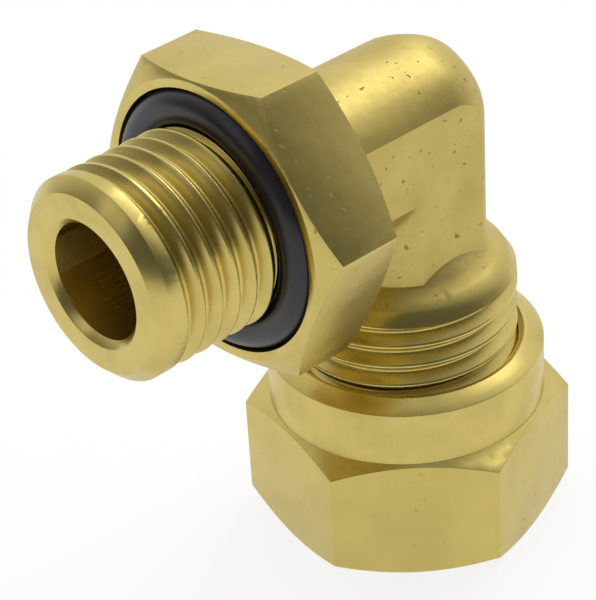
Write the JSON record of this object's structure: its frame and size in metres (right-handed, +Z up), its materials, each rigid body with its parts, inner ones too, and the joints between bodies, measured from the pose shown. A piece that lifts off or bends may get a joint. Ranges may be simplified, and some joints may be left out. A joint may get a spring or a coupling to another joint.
{
  "type": "male stud compression elbow",
  "caption": "Brass elbow fitting that joins a plain tube to a threaded port: a threaded stud with an O-ring seal, a hexagon, a forged elbow, and a compression nut with an olive.",
  "frame": {"origin": "middle of the tube's entry, on the nut's lower face, on which the part stands", "axes": "+Z up along the tube's axis to the elbow's corner; -X along the stud, out of its threaded end"},
  "size_m": [0.0356, 0.0216, 0.0386],
  "materials": {
    "forged_brass": "satin",
    "nut_brass": "polished",
    "olive_brass": "polished",
    "black_rubber": "satin"
  },
  "bodies": {
    "fitting": {"elbow_body": "forged_brass", "stud_o_ring": "black_rubber"},
    "olive_ring": {"olive": "olive_brass"},
    "nut": {"compression_nut": "nut_brass"}
  },
  "joints": [
    {"name": "nut_travel", "type": "slide", "parent": "fitting", "child": "olive_ring", "axis": [0, 0, 1], "range_m": [-0.0064, 0.0013]},
    {"name": "nut_turn", "type": "hinge", "parent": "olive_ring", "child": "nut", "pos_m": [0, 0, 0], "axis": [0, 0, 1], "range_deg": [-1530, 310]}
  ],
  "couplings": [
    {"joint": "nut_travel", "follows": "nut_turn", "m_per_rad": 0.00023873}
  ]
}
